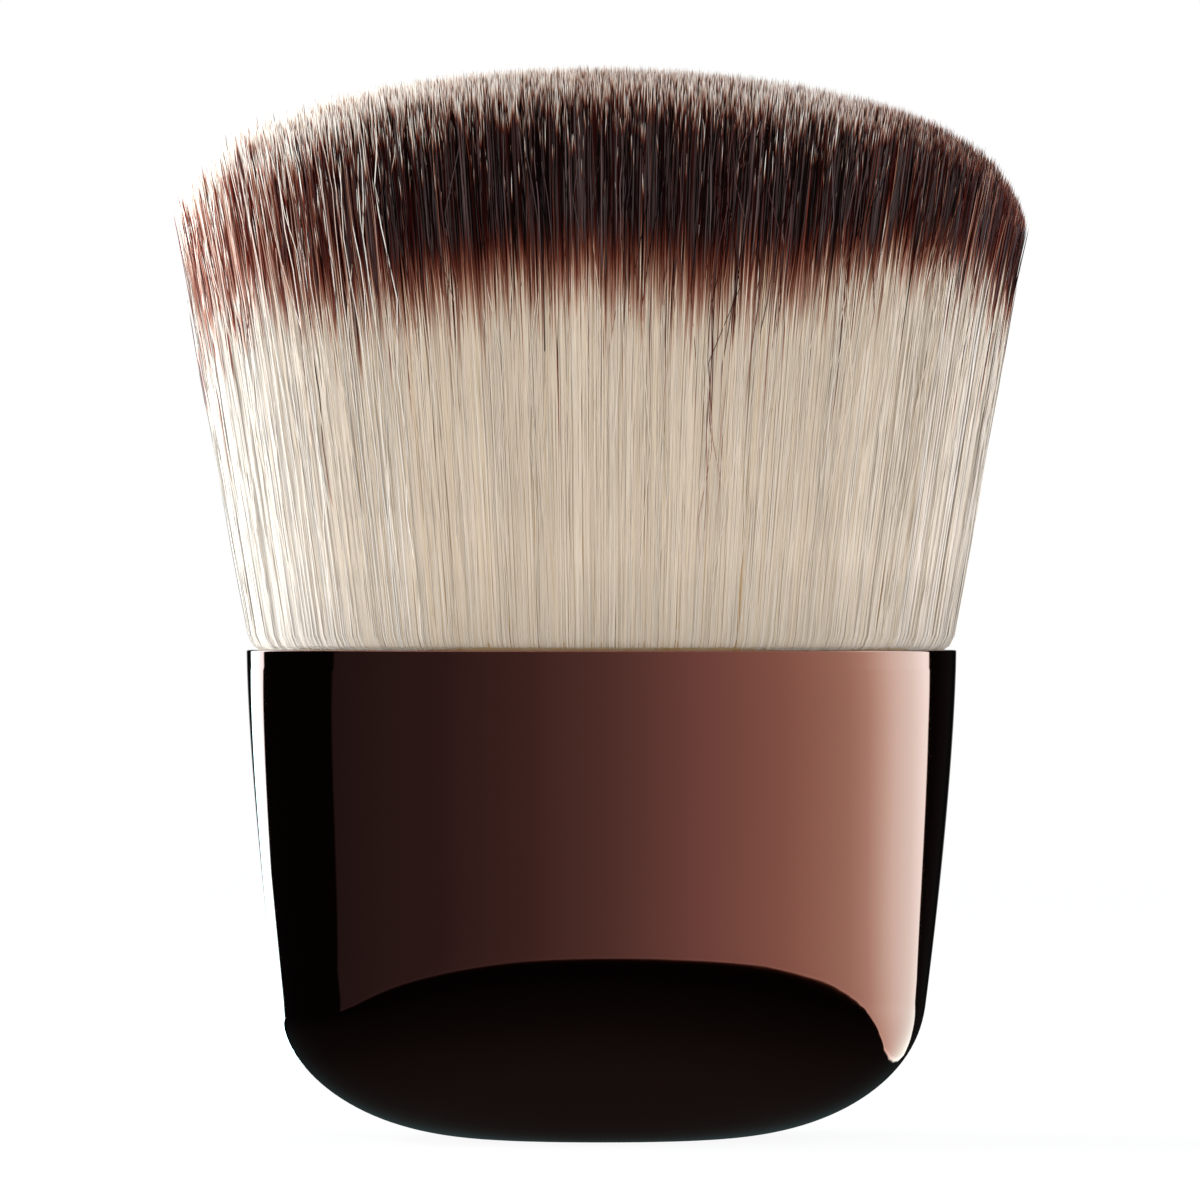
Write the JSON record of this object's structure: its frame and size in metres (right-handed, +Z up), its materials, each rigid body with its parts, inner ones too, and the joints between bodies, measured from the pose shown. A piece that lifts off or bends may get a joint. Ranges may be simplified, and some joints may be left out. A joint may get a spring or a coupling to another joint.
{
  "type": "powder brush",
  "caption": "Short flat oval powder brush: a lacquered metal handle that stands on its foot, and a flared, domed tuft of cream hair with a dark band under pale tips.",
  "frame": {"origin": "centre of the flat foot that the brush stands on", "axes": "+Z up from the foot to the crown, +X across the wide face, -Y out of the front face"},
  "size_m": [0.0627, 0.0354, 0.08],
  "materials": {
    "handle_lacquer": "high-gloss brown metallic lacquer",
    "weight_steel": "zinc plated",
    "insert_moulding": "as moulded",
    "cup_aluminium": "as drawn",
    "potting_resin": "clear amber, as cast",
    "binding_thread": "twisted thread",
    "hair": "fine synthetic filament, cream with a dark dyed band under pale tips"
  },
  "bodies": {
    "root": {"handle_shell": "handle_lacquer", "weight_block": "weight_steel", "insert_core": "insert_moulding", "tuft_cup": "cup_aluminium", "resin_plug": "potting_resin", "binding_band": "binding_thread", "bristle_tuft": "hair"}
  },
  "joints": []
}
